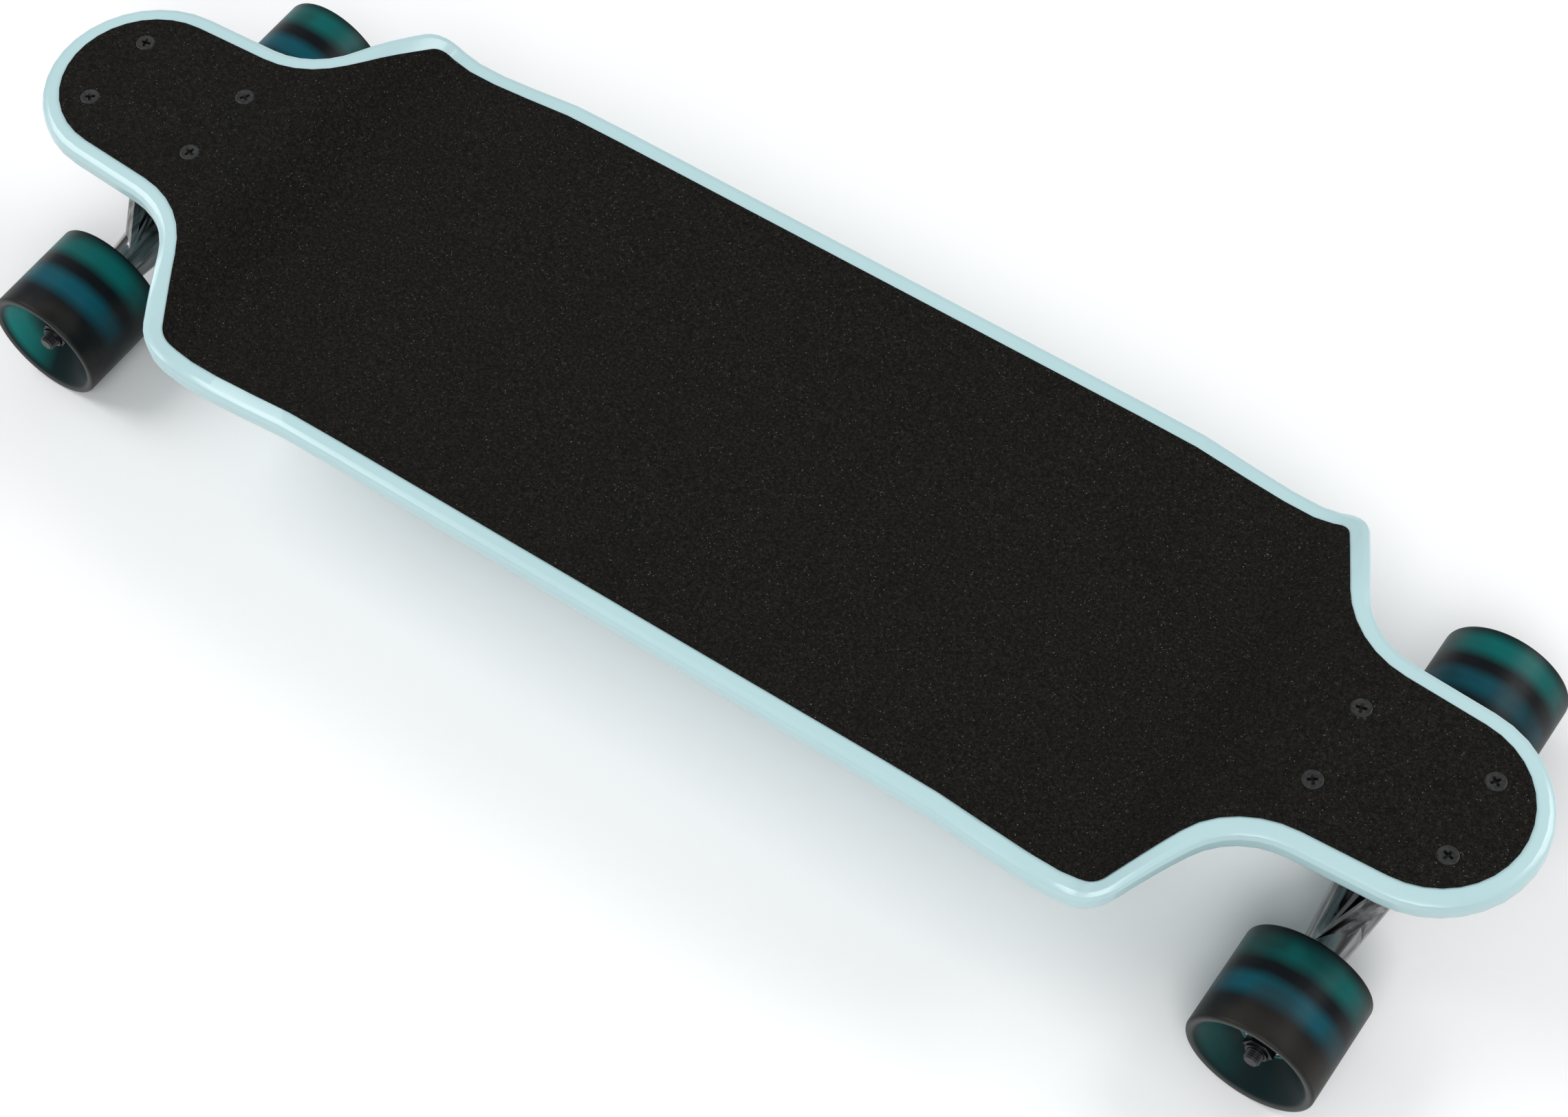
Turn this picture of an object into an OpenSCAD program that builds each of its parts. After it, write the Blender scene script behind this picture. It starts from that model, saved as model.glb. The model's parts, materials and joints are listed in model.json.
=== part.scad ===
// Drop-deck longboard: a lowered standing deck on two reverse-kingpin trucks.
// +X is the front end, +Y the left side, z = 0 the ground that the wheels stand on.

/* [Deck] */
// Overall length of the deck
deck_l = 808; // [640:1:1000]
// Width across the shoulders
deck_w = 230; // [200:1:280]
// Thickness of the deck
deck_t = 12; // [10:0.5:15]
// Radius rolled along the upper and lower edges
edge_r = 3.5; // [1:0.5:4.5]
// Width of each truck platform at its rounded end
head_w = 103; // [92:1:124]
// Angle at which the platform sides open towards the middle
head_taper = 3; // [0:0.5:5]
// Distance from each end of the deck to its truck
truck_inset = 65; // [58:1:80]
// Distance from each truck to the shoulder corner beside it
shoulder_gap = 78.5; // [70:0.5:95]
// Angle of the notch side to the board's length
notch_angle = 62; // [50:1:68]
// Outer radius of the shoulder corners
shoulder_r = 17; // [12:0.5:24]
// Radius in the bottom of the wheel notches
notch_r = 41; // [25:1:46]
// Height that the standing part is lowered by
drop_h = 20; // [0:0.5:25]
// Distance from each truck to the middle of the slope
drop_gap = 80; // [76:0.5:92]
// Length of the slope between the two levels
drop_run = 46; // [40:1:60]
// Height that the rails rise above the middle of the standing part
concave_h = 8; // [0:0.5:10]
// Distance from the middle within which the rails stand at full height
concave_full = 165; // [100:1:180]
// Distance over which the rails settle back to flat
concave_fade = 65; // [40:1:75]

/* [Grip tape] */
// Bare border left round the grip
grip_border = 9; // [5:0.5:11]
// Thickness of the grip sheet
grip_t = 0.8; // [0.6:0.1:1.5]
// Adhesive layer under the grip
glue_t = 0.2; // [0.2:0.05:0.4]

/* [Truck fastening] */
// Screw spacing along the board
bolt_x = 63.5; // [60:0.5:66]
// Screw spacing across the board
bolt_y = 41.3; // [40:0.1:44]
// Thread diameter of the deck screws
screw_d = 4.8; // [4:0.1:5]
// Head diameter of the deck screws
head_d = 9; // [8.2:0.1:9.4]
// Length of the deck screws with their heads
screw_l = 31; // [30:0.5:36]
// Radial clearance round the screws
screw_gap = 0.3; // [0.1:0.05:0.4]
// Width across flats of the deck nuts
deck_nut_af = 9.5; // [8:0.1:9.8]
// Height of the deck nuts
deck_nut_h = 5.5; // [4:0.1:6]
// Thickness of the riser pads
riser_t = 3; // [1.5:0.5:4]

/* [Truck] */
// Height from the axle to the baseplate's top
truck_h = 58.5; // [58:0.5:68]
// Length of the baseplate
plate_l = 84; // [80:1:96]
// Width of the baseplate
plate_w = 54; // [53:0.5:64]
// Thickness of the baseplate's flange
plate_t = 6; // [5:0.5:7]
// Rise of the pivot axis towards each end
pivot_angle = 45; // [43:0.5:47]
// Distance from the axle up to the pivot axis
rake = 5.5; // [5:0.25:6]
// Distance along the pivot axis from the axle to the kingpin
kingpin_gap = 25; // [24.5:0.25:27]
// Kingpin diameter
kingpin_d = 9.5; // [8:0.1:10]
// Hex size of the kingpin and its nut
kingpin_af = 14.3; // [13:0.1:15]
// Outer radius of the hanger's bushing ring
ring_r = 17; // [16:0.25:18.5]
// Thickness of the ring between its bushing seats
ring_web = 5; // [4:0.5:6]
// Depth of each bushing seat
seat_depth = 2; // [1.5:0.25:2.5]
// Bushing diameter
bushing_d = 25; // [23:0.5:26]
// Height of each bushing
bushing_h = 14; // [13:0.5:15]
// Thickness of the cupped washers
cup_washer_t = 2; // [1.5:0.25:2.5]
// Overall width of the hanger
hanger_w = 152; // [134:1:182]
// Diameter of the hanger's ends
hanger_end_d = 20; // [17:0.5:21]
// Diameter of the hanger's middle
hanger_mid_d = 28; // [26:0.5:28.5]
// Radius of the pivot nose at its root
nose_root_r = 6.6; // [6:0.1:7]
// Radius of the pivot nose's round tip
nose_tip_r = 4.4; // [4:0.1:5]
// Wall of the pivot cup at its mouth
cup_wall = 1.3; // [1:0.1:1.6]

/* [Wheels] */
// Wheel diameter
wheel_d = 62; // [60:1:76]
// Wheel width
wheel_w = 52; // [50:1:58]
// Rounding of the wheel's outer lips
lip_r = 2; // [1:0.25:3]
// Width of the ring left round each funnel mouth
face_w = 3.5; // [3.2:0.1:6]
// Outer diameter of the core
core_d = 37; // [34:0.5:40]

/* [Bearings and axles] */
// Axle diameter
axle_d = 8; // [7:0.1:8.4]
// Bearing outer diameter
bearing_d = 22; // [21.6:0.1:23]
// Bearing width
bearing_w = 7; // [6.5:0.1:7.5]
// Diameter of the circle that the balls run on
ball_circle_d = 15; // [14.8:0.1:15.2]
// Ball diameter
ball_d = 3.97; // [3.6:0.01:4]
// Balls in each bearing
ball_count = 7; // [5:1:8]
// Length of the spacer between a wheel's bearings
spacer_l = 10; // [8:0.5:12]
// Thickness of the speed washers
washer_t = 1; // [0.8:0.1:1.5]
// Width across flats of the axle nuts
axle_nut_af = 12.7; // [12:0.1:13]
// Height of the axle nuts
axle_nut_h = 6.5; // [5:0.5:8]
// Thread standing out of each axle nut
axle_tip = 4.5; // [1:0.5:6]

/* [Fits] */
// Radial clearance of shafts in their bores
shaft_fit = 0.05; // [0.03:0.01:0.08]
// Clearance between the nose and its cup
nose_fit = 0.08; // [0.05:0.01:0.1]
// Clearance between the balls and their races
ball_fit = 0.1; // [0.08:0.01:0.15]
// Gap left where cast or pressed pieces meet
bond_gap = 0.02; // [0.01:0.01:0.05]

/* [Hidden] */
$fn = 48;

// Ends and sides of the board
front = 1;
rear = -1;
left = 1;
right = -1;

// Colours
deck_paint = "lightblue";
grip_black = [0.13, 0.12, 0.11];
polished = [0.78, 0.79, 0.8];
dark_steel = [0.22, 0.22, 0.23];
bright_steel = [0.62, 0.63, 0.65];
smoky_urethane = [0.2, 0.26, 0.27];
teal = [0, 0.5, 0.48];
bushing_black = [0.16, 0.16, 0.17];
cage_white = [0.86, 0.85, 0.8];

// Heights
axle_z = wheel_d / 2;
deck_z = axle_z + truck_h + riser_t;
grip_z = deck_z + deck_t + glue_t + grip_t;
flange_z = truck_h - plate_t;

// Places along the board
truck_x = deck_l / 2 - truck_inset;
shoulder_x = truck_x - shoulder_gap;
slope_x = truck_x - drop_gap;
nose_x = deck_l / 2 - head_w / 2;

// Places along an axle, and from a wheel's middle outwards
bearing_in = spacer_l / 2;
bearing_out = bearing_in + bearing_w;
stack_end = bearing_out + washer_t;
wheel_y = hanger_w / 2 + stack_end;
axle_l = 2 * (wheel_y + stack_end + axle_nut_h + axle_tip);

// Heights along the kingpin, measured from the axle towards the deck
web_top = rake + ring_web / 2;
web_low = rake - ring_web / 2;
ring_top = web_top + seat_depth;
ring_low = web_low - seat_depth;
upper_end = web_top + bushing_h;
seat_z = upper_end + cup_washer_t;
lower_end = web_low - bushing_h;
nut_z = lower_end - cup_washer_t;
kingpin_nut_h = 8;
kingpin_thread = 2.5;
kingpin_low = nut_z - kingpin_nut_h - kingpin_thread;
kingpin_grip = 13;
kingpin_top = seat_z + kingpin_grip;
kingpin_head_h = 6;
kingpin_pocket_r = 8.6;
nut_collar_h = 2;
nut_lip_h = 1.5;
cup_rim = 1.6;
cone_step = 3;
cone_end_h = 4;
bushing_fit = 0.3;

// Places along the pivot axis, measured from the axle
cup_mouth = -9.4;
nose_root = -8;
nose_ball = -15;
cup_r = nose_root_r + nose_fit + cup_wall;
nose_neck = 4;
cup_base = 1.6;
cup_floor = nose_ball - nose_tip_r - cup_base;
tower_wall = 2.8;
tower_r = cup_r + tower_wall;
tower_end = cup_floor - 2;
swing_gap = 0.8;
swing_room = 4.2;

// Baseplate block and leg, where they meet the flange
seat_rim = 2;
block_in = -24;
block_out = (flange_z * cos(pivot_angle) - seat_z - seat_rim) / sin(pivot_angle);
block_w = 28;
leg_in = 3 - plate_l / 2;
leg_out = -21;
leg_w = 24;
plate_corner_r = 6;
riser_rim = 2;

// Hanger casting
arm_start = 15;
arm_end = 52;
end_chamfer = 1;
web_foot_r = 3;
web_skin = 1.2;
pocket_h = 30;
kingpin_clear = 2.4;
seat_clear = 0.4;

// Bearing races
race_r = ball_d / 2 + ball_fit;
inner_land_r = 6.05;
outer_land_r = 8.95;
shield_t = 0.3;
shield_in = 0.4;
shield_gap = 0.35;
pocket_fit = 0.2;
cage_w = 4.6;
cage_gap = 0.65;

// Half of the wheel's funnel
core_wall = 1.6;
funnel_root_r = bearing_d / 2 + core_wall;
core_rim = [1.4, 1.5];
core_cone = 4;
mouth_r = wheel_d / 2 - face_w;
mouth_cut = [0.8, 1];

// ---- placing ----

module at_truck(end)
    rotate([0, 0, end == front ? 0 : 180])
        translate([truck_x, 0, axle_z])
            children();

// x runs along the pivot axis, z along the kingpin towards the deck
module steering()
    rotate([0, -pivot_angle, 0])
        children();

module at_kingpin(end)
    at_truck(end)
        steering()
            translate([kingpin_gap, 0, 0])
                children();

module about_pivot()
    translate([0, 0, rake])
        rotate([0, 90, 0])
            children();

// z points out of the board's side, and z = 0 is the wheel's middle
module at_wheel(end, side)
    translate([end * truck_x, side * wheel_y, axle_z])
        rotate([-90 * side, 0, 0])
            children();

module at_both_wheels(end)
    for (side = [left, right])
        at_wheel(end, side)
            children();

module at_both_bearings()
    for (way = [1, -1])
        translate([0, 0, way * (bearing_in + bearing_w / 2)])
            children();

module at_screws()
    for (x = [-1, 1], y = [-1, 1])
        translate([x * bolt_x / 2, y * bolt_y / 2, 0])
            children();

module tube(r_out, r_in, h)
    difference() {
        cylinder(r = r_out, h = h);
        translate([0, 0, -1])
            cylinder(r = r_in, h = h + 2);
    }

module hexagon(across_flats, h)
    cylinder(d = across_flats / cos(30), h = h, $fn = 6);

module rounded_plate(l, w, h, r)
    linear_extrude(h)
        union() {
            square([l - 2 * r, w], center = true);
            square([l, w - 2 * r], center = true);
            for (x = [-1, 1], y = [-1, 1])
                translate([x * (l / 2 - r), y * (w / 2 - r)])
                    circle(r);
        }

// ---- deck outline and surface ----

function unit(v) = v / norm(v);

// Arc of radius r that rounds the corner a-b-c
function rounded(a, b, c, r, steps) =
    let (u = unit(a - b), v = unit(c - b), half = acos(u * v) / 2,
         middle = b + unit(u + v) * r / sin(half),
         from = b + u * r / tan(half) - middle,
         to = b + v * r / tan(half) - middle,
         turn = (180 - 2 * half) * sign(from.x * to.y - from.y * to.x),
         start = atan2(from.y, from.x))
    [for (k = [0:steps])
        middle + r * [cos(start + turn * k / steps), sin(start + turn * k / steps)]];

// Points strictly between two places
function between(a, b, steps) = [for (k = [1:steps - 1]) a + (b - a) * k / steps];

// Corner where the notch side meets the platform side, both set in by inset
function notch_corner(inset) =
    let (wall = shoulder_x * sin(notch_angle) + deck_w / 2 * cos(notch_angle) - inset,
         side = nose_x * sin(head_taper) + head_w / 2 - inset,
         spread = sin(notch_angle - head_taper))
    [(wall * cos(head_taper) - side * cos(notch_angle)) / spread,
     (side * sin(notch_angle) - wall * sin(head_taper)) / spread];

// Quarter outline from the middle of the left side to the front tip, set in by inset
function quarter(inset) =
    let (half_w = deck_w / 2 - inset,
         shoulder = [shoulder_x - inset * tan(notch_angle / 2), half_w],
         notch = notch_corner(inset),
         nose_r = head_w / 2 - inset,
         nose_from = 90 - head_taper,
         nose_steps = 8.5,
         cheek = [nose_x + nose_r * cos(nose_from), nose_r * sin(nose_from)],
         shoulder_arc = rounded([0, half_w], shoulder, notch, shoulder_r - inset, 5),
         notch_arc = rounded(shoulder, notch, cheek, notch_r + inset, 6),
         side_end = shoulder_arc[0].x)
    concat(
        [for (k = [0:9]) [side_end * sin(9 * k), half_w]],
        shoulder_arc,
        between(shoulder_arc[5], notch_arc[0], 4),
        notch_arc,
        between(notch_arc[6], cheek, 3),
        [for (k = [0:8])
            let (angle = nose_from * (1 - k / nose_steps))
            [nose_x + nose_r * cos(angle), nose_r * sin(angle)]]);

// Whole left side from the rear tip to the front tip
function side_line(inset) =
    let (q = quarter(inset), n = len(q))
    concat([for (k = [n - 1:-1:1]) [-q[k].x, q[k].y]], q);

// 1 below from, 0 above to, and a smooth wave between them
function ease_out(x, from, to) =
    x < from ? 1 : x > to ? 0 : (1 + cos(180 * (x - from) / (to - from))) / 2;

function drop_at(x) = drop_h * ease_out(abs(x), slope_x - drop_run / 2, slope_x + drop_run / 2);

function concave_at(x, y) =
    concave_h * pow(2 * y / deck_w, 2) * ease_out(abs(x), concave_full, concave_full + concave_fade);

// Height of the deck's underside
function deck_under(x, y) = deck_z - drop_at(x) + concave_at(x, y);

lanes = 8;

// Rows of points over the outline set in by inset, raised by h from the underside
function sheet_points(inset, h) =
    [for (s = side_line(inset), lane = [0:lanes])
        let (y = s.y * (1 - 2 * lane / lanes))
        [s.x, y, deck_under(s.x, y) + h]];

// Order of a sheet's edge points, clockwise from above
function edge_order(rows) =
    concat(
        [for (i = [0:rows - 1]) i * (lanes + 1)],
        [for (lane = [1:lanes - 1]) (rows - 1) * (lanes + 1) + lane],
        [for (i = [rows - 1:-1:0]) i * (lanes + 1) + lanes],
        [for (lane = [lanes - 1:-1:1]) lane]);

function sheet_faces(rows, first, up) =
    [for (i = [0:rows - 2], lane = [0:lanes - 1], half = [0, 1])
        let (a = first + i * (lanes + 1) + lane, b = a + lanes + 1,
             face = half == 0 ? [a, b, b + 1] : [a, b + 1, a + 1])
        up ? face : [face[2], face[1], face[0]]];

function band_faces(low, high) =
    [for (k = [0:len(low) - 1], half = [0, 1])
        let (next = (k + 1) % len(low))
        half == 0 ? [low[k], low[next], high[next]] : [low[k], high[next], high[k]]];

// Solid that follows the deck: levels lists [inset, height] from the underside up
module deck_slab(levels) {
    rows = len(side_line(0));
    edge = edge_order(rows);
    sheet = rows * (lanes + 1);
    inner = len(levels) - 2;
    top_first = sheet + inner * len(edge);
    under = sheet_points(levels[0][0], levels[0][1]);
    top = sheet_points(levels[inner + 1][0], levels[inner + 1][1]);
    bands = [for (k = [1:1:inner])
        let (ring = sheet_points(levels[k][0], levels[k][1]))
        for (e = edge) ring[e]];
    loops = concat(
        [edge],
        [for (k = [0:1:inner - 1]) [for (e = [0:len(edge) - 1]) sheet + k * len(edge) + e]],
        [[for (e = edge) top_first + e]]);
    polyhedron(
        points = concat(under, bands, top),
        faces = concat(
            sheet_faces(rows, 0, false),
            [for (k = [0:len(loops) - 2]) each band_faces(loops[k], loops[k + 1])],
            sheet_faces(rows, top_first, true)),
        convexity = 6);
}

module at_all_screws()
    for (end = [front, rear])
        translate([end * truck_x, 0, 0])
            at_screws()
                children();

head_r = head_d / 2;
head_h = head_r - screw_d / 2;
recess_span = 0.55 * head_d;
recess_w = 1.1;
recess_depth = 1.6;

module deck() {
    soft = edge_r * (1 - cos(45));
    color(deck_paint)
        difference() {
            deck_slab([
                [edge_r, 0],
                [soft, soft],
                [0, edge_r],
                [0, deck_t - edge_r],
                [soft, deck_t - soft],
                [edge_r, deck_t]]);
            at_all_screws() {
                translate([0, 0, deck_z - 1])
                    cylinder(r = screw_d / 2 + screw_gap, h = deck_t + 2);
                translate([0, 0, grip_z - head_h])
                    cylinder(r1 = screw_d / 2 + screw_gap, r2 = head_r + screw_gap, h = head_h);
            }
        }
}

module grip_tape()
    color(grip_black)
        difference() {
            deck_slab([[grip_border, deck_t + glue_t], [grip_border, deck_t + glue_t + grip_t]]);
            at_all_screws()
                translate([0, 0, deck_z])
                    cylinder(r = head_r + screw_gap, h = 2 * deck_t);
        }

// ---- truck fastening ----

module deck_screws(end)
    color(dark_steel)
        translate([end * truck_x, 0, grip_z])
            at_screws()
                difference() {
                    union() {
                        translate([0, 0, -head_h])
                            cylinder(r1 = screw_d / 2, r2 = head_r, h = head_h);
                        translate([0, 0, -screw_l])
                            cylinder(d = screw_d, h = screw_l - head_h / 2);
                    }
                    for (turn = [0, 90])
                        rotate([0, 0, turn])
                            cube([recess_span, recess_w, 2 * recess_depth], center = true);
                }

module deck_nuts(end)
    color(dark_steel)
        at_truck(end)
            at_screws()
                translate([0, 0, flange_z - deck_nut_h])
                    difference() {
                        hexagon(deck_nut_af, deck_nut_h);
                        translate([0, 0, -1])
                            cylinder(r = screw_d / 2 + shaft_fit, h = deck_nut_h + 2);
                    }

module riser_pad(end)
    color(bushing_black)
        at_truck(end)
            difference() {
                translate([0, 0, truck_h])
                    rounded_plate(plate_l + 2 * riser_rim, plate_w + riser_rim, riser_t,
                        plate_corner_r + 1);
                at_screws()
                    translate([0, 0, truck_h - 1])
                        cylinder(r = screw_d / 2 + screw_gap, h = riser_t + 2);
            }

// ---- baseplate and kingpin ----

module baseplate_foot(from, to, w)
    translate([from, -w / 2, flange_z])
        cube([to - from, w, 1]);

// Barrel of the tower, which holds the pivot cup
module tower_barrel()
    steering()
        translate([tower_end, 0, 0])
            about_pivot()
                cylinder(r = tower_r, h = cup_mouth - tower_end, $fn = 32);

module baseplate(end)
    color(polished)
        at_truck(end)
            difference() {
                union() {
                    translate([0, 0, flange_z])
                        rounded_plate(plate_l, plate_w, plate_t, plate_corner_r);
                    // Block with the sloping seat of the upper bushing
                    hull() {
                        steering()
                            translate([kingpin_gap, 0, seat_z])
                                cylinder(r = bushing_d / 2 + seat_rim, h = seat_rim, $fn = 32);
                        baseplate_foot(block_in, block_out, block_w);
                    }
                    // Leg of the tower, cut away where the hanger swings
                    difference() {
                        hull() {
                            tower_barrel();
                            baseplate_foot(leg_in, leg_out, leg_w);
                        }
                        steering()
                            rotate([90, 0, 0])
                                cylinder(r = hanger_mid_d / 2 + swing_room, h = plate_w, center = true);
                    }
                    tower_barrel();
                }
                steering() {
                    // Pivot cup bore
                    translate([cup_floor, 0, 0])
                        about_pivot()
                            cylinder(r = cup_r + bond_gap, h = 20);
                    // Kingpin bore and the pocket for its head
                    translate([kingpin_gap, 0, 0]) {
                        translate([0, 0, seat_z - 5])
                            cylinder(r = kingpin_d / 2 + shaft_fit, h = kingpin_grip + 10);
                        translate([0, 0, kingpin_top])
                            cylinder(r = kingpin_pocket_r, h = 60);
                    }
                }
                at_screws()
                    translate([0, 0, flange_z - 1])
                        cylinder(r = screw_d / 2 + screw_gap, h = plate_t + 2);
            }

module kingpin(end)
    color(dark_steel)
        at_kingpin(end) {
            translate([0, 0, kingpin_low])
                cylinder(d = kingpin_d, h = kingpin_top + 1 - kingpin_low);
            translate([0, 0, kingpin_top])
                hexagon(kingpin_af, kingpin_head_h);
        }

module kingpin_nut(end)
    color(dark_steel)
        at_kingpin(end)
            translate([0, 0, nut_z - kingpin_nut_h])
                difference() {
                    union() {
                        translate([0, 0, nut_collar_h])
                            hexagon(kingpin_af, kingpin_nut_h - nut_collar_h);
                        cylinder(d = kingpin_af - 2, h = nut_collar_h + 1);
                    }
                    translate([0, 0, -1])
                        cylinder(r = kingpin_d / 2 + shaft_fit, h = kingpin_nut_h + 2);
                }

// Cupped washer, its flat side at z = 0 and its rim rising round the bushing
module cup_washer()
    rotate_extrude()
        polygon([
            [kingpin_d / 2 + shaft_fit, 0],
            [bushing_d / 2 - 1, 0],
            [bushing_d / 2 + cup_rim, cup_washer_t],
            [bushing_d / 2 + cup_rim, cup_washer_t + 1],
            [bushing_d / 2 + 0.5, cup_washer_t + 1],
            [bushing_d / 2 + 0.5, cup_washer_t],
            [kingpin_d / 2 + shaft_fit, cup_washer_t]]);

module upper_washer(end)
    color(bright_steel)
        at_kingpin(end)
            translate([0, 0, seat_z])
                mirror([0, 0, 1])
                    cup_washer();

module lower_washer(end)
    color(bright_steel)
        at_kingpin(end)
            translate([0, 0, nut_z])
                cup_washer();

// Barrel bushing between the baseplate and the hanger
module upper_bushing(end)
    color(teal)
        at_kingpin(end)
            translate([0, 0, web_top])
                tube(bushing_d / 2, kingpin_d / 2 + bushing_fit, bushing_h);

// Cone bushing between the hanger and the kingpin nut
module lower_bushing(end)
    color(teal)
        at_kingpin(end)
            translate([0, 0, lower_end])
                difference() {
                    union() {
                        cylinder(r1 = bushing_d / 2 - cone_step, r2 = bushing_d / 2,
                            h = bushing_h - cone_end_h);
                        translate([0, 0, bushing_h - cone_end_h])
                            cylinder(d = bushing_d, h = cone_end_h);
                    }
                    translate([0, 0, -1])
                        cylinder(r = kingpin_d / 2 + bushing_fit, h = bushing_h + 2);
                }

// ---- hanger ----

// Half section of the pivot nose, grown by extra; its axis is the pivot axis
function nose_section(extra) =
    let (tip = nose_tip_r + extra)
    concat(
        [[0, nose_root + nose_neck],
         [nose_root_r + extra, nose_root + nose_neck],
         [nose_root_r + extra, nose_root]],
        [for (angle = [0:-15:-75]) [tip * cos(angle), nose_ball + tip * sin(angle)]],
        [[0, nose_ball - tip]]);

module nose(extra)
    about_pivot()
        rotate_extrude()
            polygon(nose_section(extra));

module pivot_cup(end)
    color(bushing_black)
        at_truck(end)
            steering()
                difference() {
                    translate([cup_floor, 0, 0])
                        about_pivot()
                            cylinder(r = cup_r, h = cup_mouth - cup_floor);
                    nose(nose_fit);
                }

module hanger_tube()
    for (side = [left, right])
        rotate([-90 * side, 0, 0]) {
            cylinder(d = hanger_mid_d, h = arm_start);
            translate([0, 0, arm_start])
                cylinder(d1 = hanger_mid_d, d2 = hanger_end_d, h = arm_end - arm_start);
            translate([0, 0, arm_end])
                cylinder(d = hanger_end_d, h = hanger_w / 2 - arm_end - end_chamfer);
            translate([0, 0, hanger_w / 2 - end_chamfer])
                cylinder(d1 = hanger_end_d, d2 = hanger_end_d - 2 * end_chamfer, h = end_chamfer);
        }

// Flat triangular web in the plane of the bushing ring
web_t = ring_top - ring_low - 1;

module hanger_web()
    hull() {
        translate([kingpin_gap, 0, ring_low + 0.5])
            cylinder(r = ring_r - 1.5, h = web_t, $fn = 32);
        for (side = [left, right])
            translate([2, side * (arm_end - 2), ring_low + 0.5])
                cylinder(r = web_foot_r, h = web_t, $fn = 32);
    }

// Triangular pocket that leaves a rib round each half of the web
module web_pocket(side)
    linear_extrude(pocket_h)
        polygon([
            [hanger_mid_d / 2 + 1.2, side * (ring_r + 0.6)],
            [kingpin_gap - 1, side * (ring_r + 1.6)],
            [8.5, side * (arm_end - 11)]]);

module hanger(end)
    color(polished)
        at_truck(end)
            steering()
                difference() {
                    union() {
                        difference() {
                            hanger_tube();
                            // Flat that lets the hanger swing in front of the tower
                            translate([tower_end, 0, 0])
                                about_pivot()
                                    cylinder(r = tower_r + swing_gap,
                                        h = cup_mouth + swing_gap - tower_end);
                        }
                        hanger_web();
                        translate([kingpin_gap, 0, ring_low])
                            cylinder(r = ring_r, h = ring_top - ring_low);
                        nose(0);
                    }
                    // Pockets above and below the web's middle skin
                    for (side = [left, right]) {
                        translate([0, 0, rake + web_skin])
                            web_pocket(side);
                        translate([0, 0, rake - web_skin - pocket_h])
                            web_pocket(side);
                    }
                    translate([kingpin_gap, 0, 0]) {
                        // Clearance for the kingpin while the hanger tilts
                        translate([0, 0, ring_low - 1])
                            cylinder(r = kingpin_d / 2 + kingpin_clear, h = ring_top - ring_low + 2);
                        translate([0, 0, web_top])
                            cylinder(r = bushing_d / 2 + seat_clear, h = bushing_h);
                        translate([0, 0, web_low - bushing_h])
                            cylinder(r = bushing_d / 2 + seat_clear, h = bushing_h);
                    }
                    rotate([90, 0, 0])
                        cylinder(r = axle_d / 2 + shaft_fit, h = hanger_w + 2, center = true);
                }

// ---- axle line ----

module axle(end)
    color(dark_steel)
        at_truck(end)
            rotate([90, 0, 0]) {
                cylinder(d = axle_d, h = axle_l - 2, center = true);
                for (way = [0, 180])
                    rotate([way, 0, 0])
                        translate([0, 0, axle_l / 2 - 1])
                            cylinder(d1 = axle_d, d2 = axle_d - 2, h = 1);
            }

module axle_nuts(end)
    color(dark_steel)
        at_both_wheels(end)
            translate([0, 0, stack_end])
                difference() {
                    union() {
                        hexagon(axle_nut_af, axle_nut_h - nut_lip_h);
                        cylinder(d = axle_nut_af - 2, h = axle_nut_h);
                    }
                    translate([0, 0, -1])
                        cylinder(r = axle_d / 2 + shaft_fit, h = axle_nut_h + 2);
                }

module speed_washers(end)
    color(bright_steel)
        at_both_wheels(end)
            for (z = [-stack_end, bearing_out])
                translate([0, 0, z])
                    tube(inner_land_r - 0.3, axle_d / 2 + shaft_fit, washer_t);

module bearing_spacers(end)
    color(bright_steel)
        at_both_wheels(end)
            translate([0, 0, -spacer_l / 2])
                tube(inner_land_r - 0.5, axle_d / 2 + shaft_fit, spacer_l);

module bearing_inner_rings(end)
    color(bright_steel)
        at_both_wheels(end)
            at_both_bearings()
                rotate_extrude()
                    difference() {
                        translate([axle_d / 2 + shaft_fit, -bearing_w / 2])
                            square([inner_land_r - axle_d / 2 - shaft_fit, bearing_w]);
                        translate([ball_circle_d / 2, 0])
                            circle(race_r);
                    }

// ---- wheels ----

module bearing_outer_rings(end, side)
    color(bright_steel)
        at_wheel(end, side)
            at_both_bearings()
                rotate_extrude()
                    difference() {
                        translate([outer_land_r, -bearing_w / 2])
                            square([bearing_d / 2 - outer_land_r, bearing_w]);
                        translate([ball_circle_d / 2, 0])
                            circle(race_r);
                    }

module bearing_shields(end, side)
    color(bushing_black)
        at_wheel(end, side)
            at_both_bearings()
                for (way = [1, -1])
                    translate([0, 0, way * (bearing_w / 2 - shield_in - shield_t / 2) - shield_t / 2])
                        tube(outer_land_r - bond_gap, inner_land_r + shield_gap, shield_t);

// Cage rings, with a round pocket for each ball
module bearing_cages(end, side)
    color(cage_white)
        at_wheel(end, side)
            at_both_bearings()
                difference() {
                    translate([0, 0, -cage_w / 2])
                        tube(outer_land_r - cage_gap, inner_land_r + cage_gap, cage_w);
                    for (k = [0:ball_count - 1])
                        rotate([0, 90, 360 * k / ball_count])
                            cylinder(d = ball_d + pocket_fit, h = bearing_d / 2);
                }

module bearing_balls(end, side)
    color(bright_steel)
        at_wheel(end, side)
            at_both_bearings()
                for (k = [0:ball_count - 1])
                    rotate([0, 0, 360 * k / ball_count])
                        translate([ball_circle_d / 2, 0, 0])
                            sphere(d = ball_d);

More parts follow.
